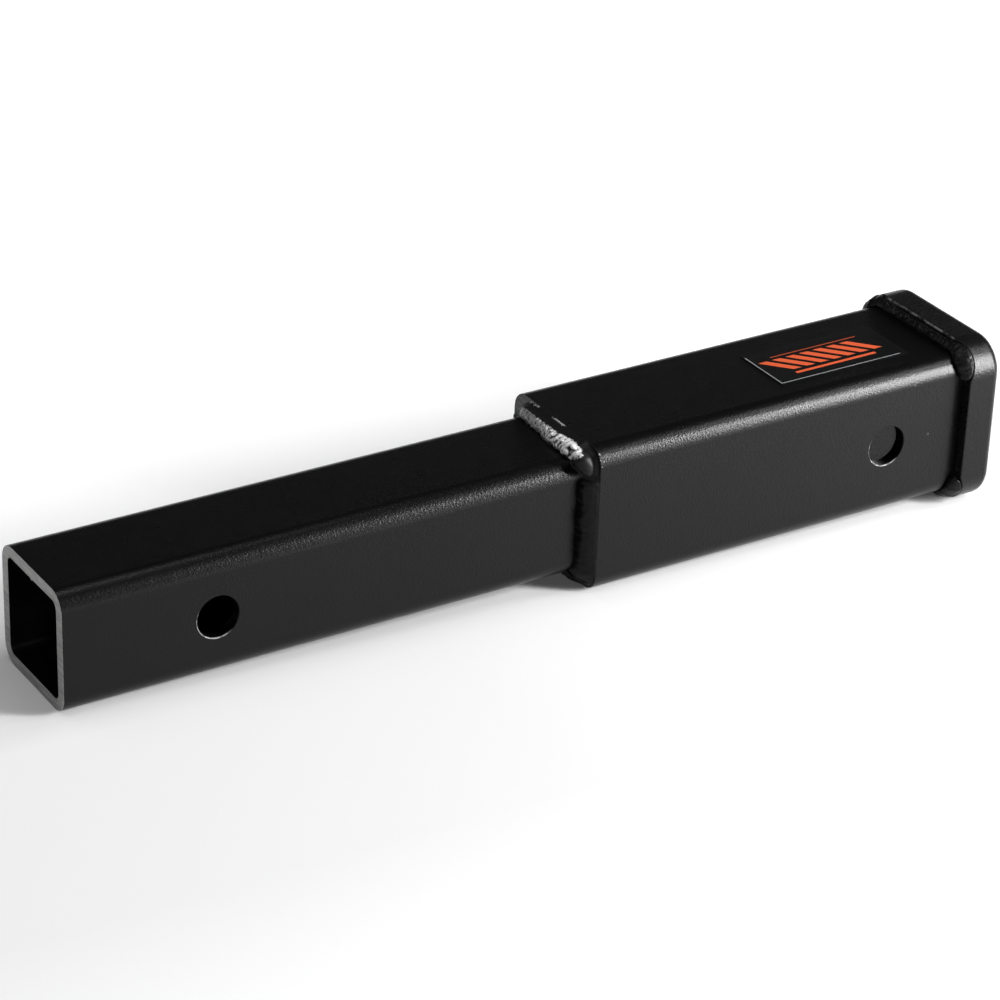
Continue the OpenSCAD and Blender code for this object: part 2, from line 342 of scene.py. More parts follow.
def rim_wear_and_highlight(hole_x, half):
    """Paint wear on the outer rim of a pin hole. It is kept to the rim's lower left side, where it also
    stands as a painted highlight.
    """
    def wear_and_highlights(n):
        x, y, z = n.axes()
        along = n.maths("SUBTRACT", x, hole_x * mm)
        rim = n.ramp(n.radius(along, z), (pin_hole_radius + 0.42) * mm, (pin_hole_radius + 0.30) * mm)
        outer = n.ramp(n.maths("ABSOLUTE", y), (half - 0.5) * mm, (half - 0.35) * mm)
        patchy = n.ramp(n.noise(420, 3, 0.6), 0.40, 0.58, 0.15, 0.8)
        # Only the rim's lower left side, where the painted highlight falls.
        low_side = n.ramp(n.maths("ADD", along, n.maths("MULTIPLY", z, 1.2)), -0.002, -0.008)
        return n.maths("MULTIPLY", n.maths("MULTIPLY", rim, outer), n.maths("MULTIPLY", patchy, low_side))
    return wear_and_highlights


def bare_steel(name, level=0.2, rough=0.5, saw=(1.0, 1.0, 1.0), end_x=None):
    """Saw-cut steel end, dull grey with the blade's fine marks. Given end_x, a patchy light line along the
    end's rounded edge is a painted highlight.
    """
    n = Nodes(name)
    marks = n.noise(420, 3, 0.6, stretch=saw)
    fine = n.noise(2600, 3, 0.65)
    colour = n.blend(n.ramp(marks, 0.3, 0.72), (level * 0.72, level * 0.72, level * 0.71, 1),
                     (level * 1.3, level * 1.3, level * 1.28, 1))
    colour = n.blend(n.ramp(fine, 0.6, 0.8, 0, 0.5), colour, (level * 2, level * 2, level * 1.95, 1))
    if end_x is not None:
        # Painted highlight: light grey on the rounded edge of the cut end.
        edge = n.ramp(n.axes()[0], (end_x + 0.03) * mm, (end_x + 0.12) * mm)
        edge = n.maths("MULTIPLY", edge, n.ramp(n.noise(600, 3, 0.65), 0.38, 0.6, 0.25, 1))
        colour = n.blend(edge, colour, (0.85, 0.85, 0.84, 1))
    surface = n.bump(marks, 0.00008)
    surface = n.bump(fine, 0.00004, under=surface)
    return n.set(Base_Color=colour, Metallic=0.55, Roughness=rough, Normal=surface)


tube_paint = black_paint("tube_paint", wear_and_highlights=rim_wear_and_highlight(0.0, shank_half))
saw_cut = bare_steel("saw_cut_steel", level=0.32, saw=(1.0, 0.25, 1.6), end_x=shank_start)

shank_skin = square_tube(shank_start, shank_stop, shank_half, shank_wall, shank_corner, 0.0)
rng = np.random.default_rng(7)
flash_width, flash_sides = 1.25, 12
flash_x = np.linspace(shank_start + 0.05, shank_stop - 0.05, 140)
flash_height = 0.75 + 0.16 * np.sin(flash_x * 0.9) + rng.normal(0, 0.06, len(flash_x))
turn = np.linspace(0, 2 * math.pi, flash_sides + 1)[:-1]
flash_points, flash_normals = [], []
for x, height in zip(flash_x, flash_height):
    flash_points.append(np.c_[np.full(flash_sides, x), flash_width * height * np.cos(turn),
                              shank_half - shank_wall + height * np.sin(turn)])
    flash_normals.append(np.c_[np.zeros(flash_sides), np.cos(turn), np.sin(turn)])
flash = shank_skin.rows(np.array(flash_points), np.array(flash_normals))
for a, b in zip(flash[:-1], flash[1:]):
    shank_skin.quads(a, b)
shank_skin.faces += [tuple(flash[0][::-1]), tuple(flash[-1])]
shank_skin.finishes += [1, 0]
shank = shank_skin.piece("shank_tube_body", [tube_paint, saw_cut])
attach(shank, "root")
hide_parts("shank_tube")

# Receiver tube.
# A heavier square tube, 63.5 mm outside, slipped over the shank for the weld. Its bore is the new socket.
# It is cut square and drilled for a second hitch pin, and painted with the rest.
receiver_half, receiver_wall, receiver_corner = 31.75, 5.6, 8.0


def cut_end(name):
    """The receiver's cut end: painted where the weld runs up to it, and bare round the far top corner. The
    bare part's rounded edge is lighter, as a painted highlight.
    """
    n = Nodes(name)
    x, y, z = n.axes()
    ragged = n.maths("MULTIPLY", n.maths("SUBTRACT", n.noise(240, 3, 0.6), 0.5), 0.008)
    bare = n.ramp(n.maths("ADD", y, ragged), 0.0135, 0.0150)
    # Painted highlight: a lighter line on the bare part's rounded edge.
    rim = n.maths("MULTIPLY", bare, n.ramp(x, (step_x + 0.05) * mm, (step_x + 0.16) * mm))
    marks = n.ramp(n.noise(500, 3, 0.6, stretch=(1.0, 0.3, 1.5)), 0.3, 0.7)
    steel = n.blend(marks, (0.05, 0.05, 0.05, 1), (0.11, 0.11, 0.108, 1))
    steel = n.blend(rim, steel, (0.5, 0.5, 0.5, 1))
    colour = n.blend(bare, (0.004, 0.004, 0.0043, 1), steel)
    surface = n.bump(n.noise(900, 3, 0.6), 0.00006)
    return n.set(Base_Color=colour, Metallic=n.maths("MULTIPLY", bare, 0.4), Roughness=n.mix(bare, 0.36, 0.5),
                 Normal=surface, IOR=1.33)


def receiver_wear_and_highlight(n):
    """Paint wear on the hole rims, kept to their lower left side as a painted highlight, one nick on the near
    top edge and one small mark on the side.
    """
    spots = rim_wear_and_highlight(second_pin_x, receiver_half)(n)
    ragged = n.maths("MULTIPLY", n.maths("SUBTRACT", n.noise(1500, 3, 0.7), 0.5), 0.0012)
    for spot, size in (((317.0, -31.6, 25.0), 0.55), ((326.0, -31.75, 0.5), 0.5)):
        away = n.distance(tuple(v * mm for v in spot))
        mark = n.ramp(n.maths("ADD", away, ragged), (size + 0.1) * mm, size * mm, 0, 0.12)
        spots = n.maths("MAXIMUM", spots, mark)
    return spots


receiver_paint = black_paint("receiver_paint", wear_and_highlights=receiver_wear_and_highlight)
receiver_skin = square_tube(step_x, mouth_x, receiver_half, receiver_wall, receiver_corner, second_pin_x)
receiver = receiver_skin.piece("receiver_tube_body", [receiver_paint, cut_end("receiver_cut_end")])
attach(receiver, "root")
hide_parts("receiver_tube")

# Mouth collar.
# One flat bar, 15.8 by 4.8 mm, bent round the mouth and welded on its back edge to stiffen the socket.
# The bends draw that edge in at the corners. Its outer edge at the mouth is rounded off, and it is painted.
collar_x, collar_fit, collar_bar = 342.0, 0.15, 4.8
collar_corner, collar_draw, mouth_round, rear_round, bore_round = 14.5, 2.8, 4.0, 0.5, 0.3
collar_half = receiver_half + collar_fit + collar_bar
draw_start = collar_corner * math.cos(math.pi / 4)
draw_slope = collar_draw / (collar_corner - draw_start)


def past_line(flat_points):
    """How far points lie past the straight line across the corner on which the drawn edge starts."""
    bend_centre = math.sqrt(2) * (collar_half - collar_corner)
    return np.abs(flat_points).sum(-1) / math.sqrt(2) - bend_centre - draw_start


outer_line, outer_normals = square_outline(collar_half, collar_corner)
inner_line, inner_normals = square_outline(receiver_half + collar_fit, receiver_corner + collar_fit)
collar_points, collar_normals = [], []
outer_draw = np.maximum(0, draw_slope * past_line(outer_line))
for x, depth, along_x, outward in (quarter_round(mouth_x - mouth_round, mouth_round, mouth_round, 0, 8)
                                   + quarter_round(mouth_x - bore_round, -bore_round, bore_round, 90)
                                   + quarter_round(collar_x + bore_round, -bore_round, bore_round, 180)):
    outside = outward > 0.001 or along_x > 0.99 and depth > 0
    line, across = (outer_line, outer_normals) if outside else (inner_line, inner_normals)
    collar_points.append(np.c_[np.full(len(line), x), line - depth * across])
    collar_normals.append(np.c_[np.full(len(line), along_x), outward * across])
for share in np.linspace(0, 1, 9)[1:-1]:
    line = inner_line * (1 - share) + (outer_line - rear_round * outer_normals) * share
    fall = np.maximum(0, draw_slope * past_line(line))
    tilt = np.where(fall > 0, math.atan(draw_slope), 0)
    diagonal = np.sign(line) / math.sqrt(2)
    collar_points.append(np.c_[collar_x + fall, line])
    collar_normals.append(np.c_[-np.cos(tilt), np.sin(tilt)[:, None] * diagonal])
for x, depth, along_x, outward in quarter_round(collar_x + rear_round, rear_round, rear_round, 270):
    collar_points.append(np.c_[x + outer_draw, outer_line - depth * outer_normals])
    collar_normals.append(np.c_[np.full(len(outer_line), along_x), outward * outer_normals])
collar_skin = Skin()
collar_rows = collar_skin.rows(np.array(collar_points), np.array(collar_normals))
for k in range(len(collar_rows)):
    collar_skin.quads(collar_rows[k], collar_rows[(k + 1) % len(collar_rows)])


def painted_edge_highlight(n):
    """A painted highlight: a patchy light grey line along the back edge of the collar's top."""
    x, y, z = n.axes()
    edge = n.ramp(x, (collar_x + 0.75) * mm, (collar_x + 0.45) * mm)
    top = n.ramp(z, (collar_half - 0.75) * mm, (collar_half - 0.45) * mm)
    patchy = n.ramp(n.noise(260, 4, 0.65), 0.42, 0.6, 0, 0.5)
    return n.maths("MULTIPLY", n.maths("MULTIPLY", edge, top), patchy)


collar_paint = black_paint("collar_paint", level=0.003, gloss=0.27, ior=1.28, wear_and_highlights=painted_edge_highlight)
collar = collar_skin.piece("mouth_collar_bar", [collar_paint])
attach(collar, "root")
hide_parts("mouth_collar")

# Step welds.
# Four hand-laid fillet runs join the shank to the receiver's cut end. The top run is heaped, left bare
# and bright under a sooty edge, and stops in a lump on the near corner. The others are painted over.
bead_gap = 0.03
ACROSS = 36


def side_step(half, corner):
    return 2 * (half - corner) + math.pi / 2 * corner


def place_on(half, corner, s):
    """Points and outward normals at stations s, from the middle of the top towards the near side."""
    flat, step = half - corner, side_step(half, corner)
    side = np.floor((s + flat) / step)
    along = s - side * step
    bend = np.maximum(0, along - flat) / corner
    out = np.c_[-np.sin(bend), np.cos(bend)]
    centre = np.c_[-np.minimum(along, flat), np.full(len(s), flat)]
    c, w = np.cos(side * math.pi / 2), np.sin(side * math.pi / 2)
    return [np.c_[v[:, 0] * c - v[:, 1] * w, v[:, 0] * w + v[:, 1] * c]
            for v in (centre + corner * out, out)]


def crescents(rng, s, t, pitch, depth, bow):
    """Low caps, one for each puddle of a run, that overlap and meet in sharp grooves."""
    field = np.zeros(np.broadcast(s, t).shape)
    at = s.min() - 3 * pitch
    while at < s.max() + 2 * pitch:
        width, lead = pitch * rng.uniform(0.8, 1.3), bow * rng.uniform(0.5, 1.3) * np.sin(math.pi * t)
        field = np.maximum(field, depth * rng.uniform(0.5, 1.4) * (1 - ((s - at - lead) / width) ** 2))
        at += pitch * rng.uniform(0.6, 1.25)
    return field


def knobs(rng, s, t, count, first, last, low, high, size, depth, girth=9.5):
    """Rounded lumps of metal that froze as it was pushed about."""
    field = np.zeros(np.broadcast(s, t).shape)
    for _ in range(count):
        along, over = s - rng.uniform(first, last), (t - rng.uniform(low, high)) * girth
        turn, a = rng.uniform(0, math.pi), size * rng.uniform(0.6, 1.4)
        b = a * rng.uniform(0.45, 0.9)
        p = (along * math.cos(turn) + over * math.sin(turn)) / a
        q = (over * math.cos(turn) - along * math.sin(turn)) / b
        field = np.maximum(field, depth * rng.uniform(0.5, 1.3) * (1 - p ** 2 - q ** 2))
    return field


def smoothed(field, passes):
    for k in range(passes):
        step = 1 if k % 2 else -1
        field = (field + np.roll(field, step, 0) + np.roll(field, step, 1)
                 + np.roll(field, (step, step), (0, 1))) / 4
    return field


def grain(rng, shape, passes):
    """Random unevenness, smoothed over about as many points as there are passes."""
    field = smoothed(rng.normal(0, 1, shape), passes)
    return field / field.std()


def weld_run(name, finish, legs, start, stop, ends, relief, seed, face_x, half, corner, slope=0.0):
    """Bead in the corner between a tube and a face across it. Each of its legs is a station round the tube,
    the reach along the tube, the rise up the face and how flat the section is. Its open ends round off,
    and its relief stands on it along the section's normal."""
    rng = np.random.default_rng(seed)
    legs = np.array(legs)
    s = np.linspace(start, stop, int((stop - start) / 0.2) + 1)[:, None]
    t = np.linspace(0, 1, ACROSS + 1)[None, :]
    reach, rise, form = (np.interp(s, legs[:, 0], legs[:, k]) for k in (1, 2, 3))
    left = np.minimum(s - start if ends[0] else 3.0, stop - s if ends[1] else 3.0) / 3.0
    full = np.sqrt(np.maximum(0.04, 1 - np.maximum(0, 1 - left) ** 2))
    loop = 4 * side_step(half, corner)
    wander = 1 + 0.05 * (np.sin(2 * math.pi * 5 * s / loop) + 0.6 * np.sin(2 * math.pi * 13 * s / loop))
    toe = np.interp(s, np.linspace(start, stop, int((stop - start) / 1.7) + 2),
                    rng.normal(0, 0.04, int((stop - start) / 1.7) + 2))
    reach, rise = reach * wander * (1 + toe) * full, rise * full
    a = math.pi / 2 * t
    tilt = np.arctan2(np.sin(a) * reach, np.cos(a) * rise)
    swell, groove_shade = relief(rng, s, t)
    swell = swell * np.sin(math.pi * np.clip(t, 0, 1)) ** 0.4 * np.minimum(1, full * 1.5)
    back = np.maximum(reach * np.cos(a) ** form + swell * np.cos(tilt), 0)
    height = np.maximum(rise * np.sin(a) ** form + swell * np.sin(tilt), 0)
    back[:, -1] = 0
    follow = np.broadcast_to(np.sin(a) ** 2, back.shape)
    at, out = place_on(half + bead_gap, corner + bead_gap, s[:, 0])
    root = np.zeros((len(s), 1))
    back, height, follow, groove_shade = (np.c_[root, v] for v in (back, height, follow, groove_shade + 0 * back))
    if slope:
        line = -past_line(at) * math.sqrt(2) / np.abs(out).sum(1)
        line = np.clip(line, 0.1 * rise[:, 0], 0.9 * rise[:, 0])
        back, height = np.c_[back, root], np.c_[height, line]
        follow, groove_shade = np.c_[follow, root], np.c_[groove_shade, root]
    section = at[:, None, :] + height[:, :, None] * out[:, None, :]
    fall = np.maximum(0, slope * past_line(section) - 0.1) if slope else 0
    rows = np.concatenate([(face_x - back + follow * fall)[:, :, None], section], axis=2)
    skin = Skin()
    numbers = skin.rows(rows, np.zeros_like(rows))
    for one, other in zip(numbers[:-1], numbers[1:]):
        skin.quads(one[::-1], other[::-1])
    for end, order in ((numbers[0], -1), (numbers[-1], 1)):
        for k in range(2, len(end)):
            skin.faces.append((end[1], end[k], end[(k + 1) % len(end)])[::order])
            skin.finishes.append(0)
    item = skin.piece(name, [finish], own_normals=False)
    item.data.set_sharp_from_angle(angle=math.radians(55))
    # Keeps the relief's painted shade for the grooves, for the finish to read.
    item.data.attributes.new("grooves", "FLOAT", "POINT").data.foreach_set("value", groove_shade.ravel())
    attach(item, "root")
    return item


def bare_weld_metal(name):
    """Weld metal left bare: bright and dimpled low on the bead, sooty above and on the stop. The bright metal
    is painted lighter towards the near end as a painted highlight, and darker in the grooves between its
    scales as painted shade. Thin light lines on the toe and on the lips at the cut are painted highlights.
    back and height are how far a point lies behind the receiver's end and above the shank."""
    n = Nodes(name)
    x, y, z = n.axes()
    back = n.maths("SUBTRACT", step_x * mm, x)
    flat = (shank_half - shank_corner) * mm
    over_y = n.maths("MAXIMUM", n.maths("SUBTRACT", n.maths("ABSOLUTE", y), flat), 0.0)
    over_z = n.maths("MAXIMUM", n.maths("SUBTRACT", z, flat), 0.0)
    height = n.maths("SUBTRACT", n.radius(over_y, over_z), shank_corner * mm)
    ragged = n.maths("MULTIPLY", n.maths("SUBTRACT", n.noise(800, 4, 0.75), 0.5), 0.0042)
    above = n.maths("ADD", n.maths("SUBTRACT", height, n.maths("MULTIPLY", back, 0.92)), ragged)
    above = n.maths("SUBTRACT", above, n.ramp(y, -0.007, -0.015, 0, 0.0016))
    bright = n.ramp(above, 0.0006, 0.0002)
    low = n.ramp(n.maths("ADD", height, n.maths("MULTIPLY", ragged, 0.4)), 0.0005, 0.0010)
    round_corner = n.maths("SUBTRACT", n.maths("ARCTAN2", over_y, over_z), n.maths("MULTIPLY", height, 38.0))
    near_stop = n.ramp(n.maths("ADD", round_corner, n.maths("MULTIPLY", ragged, 110.0)), 0.45, 0.36)
    far_stop = n.ramp(n.maths("ADD", y, ragged), 0.0196, 0.0184)
    near_half = n.ramp(n.maths("ADD", y, ragged), 0.0, -0.001)
    between_stops = n.mix(near_half, far_stop, near_stop)
    bright = n.maths("MULTIPLY", n.maths("MULTIPLY", bright, low), between_stops)
    fine = n.noise(2600, 4, 0.65)
    # Lighter towards the near end: a painted highlight.
    near = n.ramp(y, 0.014, -0.012)
    metal = n.blend(near, (0.40, 0.40, 0.41, 1), (0.95, 0.95, 0.95, 1))
    metal = n.blend(n.ramp(fine, 0.45, 0.60, 0, n.mix(near, 0.5, 0.15)), metal, (0.10, 0.10, 0.10, 1))
    # Painted shade: near black where the bead lies below its neighbours.
    grooves = n.add("Attribute", attribute_name="grooves").outputs["Fac"]
    metal = n.blend(grooves, metal, (0.012, 0.012, 0.013, 1))
    # Painted highlights: thin light lines along the toe and on the lips at the cut.
    toe = n.maths("MULTIPLY", n.ramp(height, 0.0004, 0.0002), n.ramp(n.noise(260, 2, 0.5), 0.42, 0.56))
    lip_highlights = n.maths("ADD", n.ramp(n.maths("ABSOLUTE", n.maths("ADD", y, 0.0015)), 0.0052, 0.0040),
                   n.ramp(n.maths("ABSOLUTE", n.maths("SUBTRACT", y, 0.0165)), 0.0040, 0.0030))
    lip_highlights = n.maths("MULTIPLY", lip_highlights, n.ramp(n.noise(700, 3, 0.6), 0.38, 0.52))
    by_the_cut = n.ramp(n.maths("ADD", back, n.maths("MULTIPLY", ragged, 0.7)), 0.0009, 0.0005)
    lip = n.maths("MULTIPLY", by_the_cut, lip_highlights)
    edge = n.maths("MULTIPLY", n.maths("MAXIMUM", toe, lip), n.ramp(y, -0.0195, -0.018))
    soot_and_edge_highlights = n.blend(edge, (0.008, 0.008, 0.0085, 1), (0.6, 0.6, 0.6, 1))
    colour = n.blend(bright, soot_and_edge_highlights, metal)
    bare = n.maths("MAXIMUM", n.maths("MULTIPLY", bright, n.ramp(grooves, 0.9, 0.3)), edge)
    rough = n.mix(bare, n.mix(n.ramp(fine, 0.3, 0.7), 0.40, 0.50), n.mix(n.ramp(fine, 0.3, 0.7), 0.22, 0.36))
    surface = n.bump(n.noise(1100, 3, 0.6), n.mix(bare, 0.00004, 0.00032))
    surface = n.bump(fine, n.mix(bare, 0.00002, 0.00010), under=surface)
    return n.set(Base_Color=colour, Metallic=n.maths("MULTIPLY", bare, 0.3), Roughness=rough, Normal=surface,
                 IOR=1.25)


def heaped(rng, s, t):
    """The top run: bright metal heaped low, a hollow over it, scales that grow coarse, and a smooth stop."""
    crown = np.interp(t, [0, 0.08, 0.24, 0.42, 0.55, 0.7, 0.88, 1], [0, 0.4, 0.75, 0.7, 0.2, -0.45, -0.35, 0])
    crown = crown * np.interp(s, [-25.7, -20, -16, 4, 12, 19, 22, 29], [0.0, 0.5, 1, 1, 1.5, 1.4, 0.3, 0.1])
    low = np.interp(t, [0, 0.1, 0.5, 0.62, 1], [0.3, 1, 1, 0.1, 0.04])
    coarse = np.interp(s, [-25, -18, -8, 4, 18, 20.5, 22], [0.1, 0.5, 0.7, 0.9, 1.2, 1.0, 0])
    wide = np.interp(s, [3, 9], [0, 1])
    fine_scales = (crescents(rng, s, t, 1.0, 0.35, 1.5)
                   + knobs(rng, s, t, 130, -24, 10, 0.05, 0.6, 0.75, 0.35)
                   + 0.05 * grain(rng, crown.shape, 2))
    folds = np.maximum(crescents(rng, s, t, 1.5, 0.6, 2.6), knobs(rng, s, t, 30, 4, 20, 0.05, 0.7, 1.4, 0.95))
    scales = (1 - wide) * fine_scales + wide * folds
    dome = (3.4 * np.sqrt(np.clip(1 - ((s - 24.2) / 4.0) ** 2 - ((t - 0.42) / 0.40) ** 2, 0, 1))
            - 1.6 * np.interp(s, [19.6, 21.6, 27.8, 30.4], [0, 1, 1, 0]))
    soft = 0.035 * grain(rng, crown.shape, 12) + 0.012 * grain(rng, crown.shape, 3)
    valley = smoothed(scales, 36) - scales
    # The second value darkens the valleys between the scales: painted shade.
    groove_shade = np.clip(valley / 0.13 - 0.1, 0, 1) * np.minimum(1, coarse * 1.4) * low
    return crown + coarse * low * (scales - 0.35) + dome + soft, groove_shade


def plain(rng, s, t):
    """A run in one smooth pass: steep at the tube, a ridge, and a flatter slope up to the cut end."""
    ridge = np.interp(t, [0, 0.2, 0.38, 0.5, 0.75, 1], [0, 0.4, 0.75, 0.5, 0.1, 0])
    soft = 0.06 * grain(rng, (len(s), ACROSS + 1), 24) + 0.015 * grain(rng, (len(s), ACROSS + 1), 5)
    return ridge + crescents(rng, s, t, 4.2, 0.05, 1.4) + soft, 0.0


bare_weld = bare_weld_metal("bare_weld")
painted_weld = black_paint("painted_weld", level=0.003, gloss=0.36, ior=1.2)

shank_side = side_step(shank_half, shank_corner)
shank_flat = shank_half - shank_corner
step_corner_end = shank_side - shank_flat
step_top_start, step_top_end = -shank_side / 2 - 2, step_corner_end + 0.5
step_far_end = 4 * shank_side + step_top_start - 6
rise, reach, heaped_reach, lump, bottom_rise, bottom_reach = 6.1, 6.0, 8.0, 8.0, 8.2, 8.0
step_legs = [
    (step_top_start, reach - 1.5, rise - 3.4, 1.5),
    (-shank_side / 2, reach - 0.5, rise - 2.4, 1.3),
    (-shank_flat, reach, rise, 1.2),
    (0, heaped_reach - 1, rise, 1.1),
    (shank_flat, heaped_reach, rise + 0.1, 1.05),
    (shank_side / 2, heaped_reach, lump, 0.95),
    (step_corner_end - 2, reach - 0.4, lump - 1.8, 1.05),
    (step_top_end - 1.2, reach - 1.5, rise + 0.1, 1.1),
    (step_top_end, reach, rise, 1.2),
    (2 * shank_side - step_corner_end, reach, rise, 1.25),
    (1.5 * shank_side, bottom_reach, bottom_rise, 1.9),
    (shank_side + step_corner_end, reach, rise, 1.5),
    (3 * shank_side - step_corner_end, reach, rise, 1.5),
    (2.5 * shank_side, bottom_reach - 1, bottom_rise - 0.4, 1.7),
    (2 * shank_side + step_corner_end, reach - 0.5, rise - 0.6, 1.4),
    (step_far_end, reach - 0.5, rise - 0.8, 1.4)]
for place, start, stop, ends, finish, slot, relief, seed in (
        ("top", step_top_start, step_top_end, (True, False), bare_weld, "bare_weld", heaped, 11),
        ("near", step_top_end, 1.5 * shank_side, (False, False), painted_weld, "painted_weld", plain, 12),
        ("bottom", 1.5 * shank_side, 2.5 * shank_side, (False, False), painted_weld, "painted_weld",
         plain, 13),
        ("far", 2.5 * shank_side, step_far_end, (False, True), painted_weld, "painted_weld", plain, 14)):
    bead = weld_run("step_bead_" + place, finish, step_legs, start, stop, ends, relief, seed,
                    step_x, shank_half, shank_corner)
    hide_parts("step_weld_" + place)

# Weld spatter.
# Small beads of metal thrown off as the top run was laid. They froze on the near corner of the receiver
# and on the shank's edge, and are left bare.
rng = np.random.default_rng(31)
drop_sides = 12
spatter_skin = Skin()
for x, angle, radius, half, corner in (
        (164.3, 46, 0.42, receiver_half, receiver_corner), (165.3, 22, 0.5, receiver_half, receiver_corner),
        (167.4, 33, 0.3, receiver_half, receiver_corner), (164.4, 8, 0.28, receiver_half, receiver_corner),
        (148.6, 38, 0.32, shank_half, shank_corner)):
    a = math.radians(angle)
    out = np.array([0, -math.cos(a), math.sin(a)])
    over = np.array([0, math.sin(a), math.cos(a)])
    foot = np.array([x, corner - half, half - corner]) + out * (corner - 0.05)
    rings, ring_normals = [], []
    for rise_angle in np.radians([0, 18, 36, 54, 72]):
        turn = np.linspace(0, 2 * math.pi, drop_sides + 1)[:-1]
        flat = np.cos(turn)[:, None] * np.array([1.25, 0, 0]) + np.sin(turn)[:, None] * over
        normal = math.cos(rise_angle) * flat + math.sin(rise_angle) * out
        rings.append(foot + radius * normal * (1 + rng.normal(0, 0.04, (drop_sides, 1))))
        ring_normals.append(normal)
    numbers = spatter_skin.rows(np.array(rings), np.array(ring_normals))
    for one, other in zip(numbers[:-1], numbers[1:]):
        spatter_skin.quads(one, other)
    tip = spatter_skin.rows(np.array([foot + radius * out]), np.array([out]))[0]
    for k in range(drop_sides):
        spatter_skin.faces.append((numbers[-1][k], numbers[-1][(k + 1) % drop_sides], tip))
        spatter_skin.finishes.append(0)
    spatter_skin.faces.append(tuple(numbers[0][::-1]))
    spatter_skin.finishes.append(0)
spatter = spatter_skin.piece("weld_spatter", [bare_steel("spatter_steel", level=0.28, rough=0.3)])
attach(spatter, "root")

# Collar welds.
# Two thin fillet runs behind the collar, across the top and the bottom, each with a rough lump round two
# corners, where it fills what the bend drew in. They are painted over, and the sides have no run.
receiver_side = side_step(receiver_half, receiver_corner)
receiver_flat = receiver_half - receiver_corner
receiver_corner_end = receiver_side - receiver_flat
collar_weld_end = receiver_corner_end + 2


def speckled(n):
    """Fine bright specks on the top run between its lumps."""
    x, y, z = n.axes()
    along = n.ramp(n.maths("ABSOLUTE", y), 0.0235, 0.0215)
    high = n.ramp(z, (receiver_half + 0.4) * mm, (receiver_half + 1.2) * mm)
    specks = n.ramp(n.noise(1300, 4, 0.75), 0.60, 0.68, 0, 0.75)
    return n.maths("MULTIPLY", n.maths("MULTIPLY", along, high), specks)


collar_weld_paint = black_paint("collar_weld_paint", level=0.003, gloss=0.34, ior=1.22, wear_and_highlights=speckled)


def thin(rng, s, t):
    """A thin, spluttered run that turns into rough folds round the corners."""
    round_corner = np.interp(np.abs(s), [21, 26, 37], [0, 1, 1])
    folds = crescents(rng, s, t, 1.25, 0.5, 0.5)
    spluttered = knobs(rng, s, t, 70, -25, 25, 0.05, 0.9, 0.8, 0.3, girth=4)
    soft = 0.04 * grain(rng, (len(s), ACROSS + 1), 10) + 0.02 * grain(rng, (len(s), ACROSS + 1), 3)
    return round_corner * (folds + 0.1) + (1 - round_corner) * (spluttered - 0.05) + soft, 0.0


half_legs = [
    (receiver_flat / 2, 1.6, 3.5, 1.5),
    (receiver_flat + 1, 2.4, 3.8, 1.3),
    (receiver_side / 2, 4.5, 4.2, 1.1),
    (receiver_corner_end, 3.0, 4.1, 1.15),
    (collar_weld_end, 1.6, 3.8, 1.3)]
collar_legs = [(-s, a, b, c) for s, a, b, c in half_legs[::-1]] + half_legs
for place, turned_over, seed in (("top", 0, 21), ("bottom", 2 * receiver_side, 22)):
    legs = [(s + turned_over, a, b, c) for s, a, b, c in collar_legs]

    def relief(rng, s, t, middle=turned_over):
        return thin(rng, s - middle, t)

    bead = weld_run("collar_bead_" + place, collar_weld_paint, legs, turned_over - collar_weld_end,
                    turned_over + collar_weld_end, (True, True), relief, seed, collar_x, receiver_half,
                    receiver_corner, draw_slope)
    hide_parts("collar_weld_" + place)

# Label.
# A printed plastic film stuck on top of the receiver tube: black, with a thin grey border line and a
# row of slanted orange bars.
label_low, label_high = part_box("label")


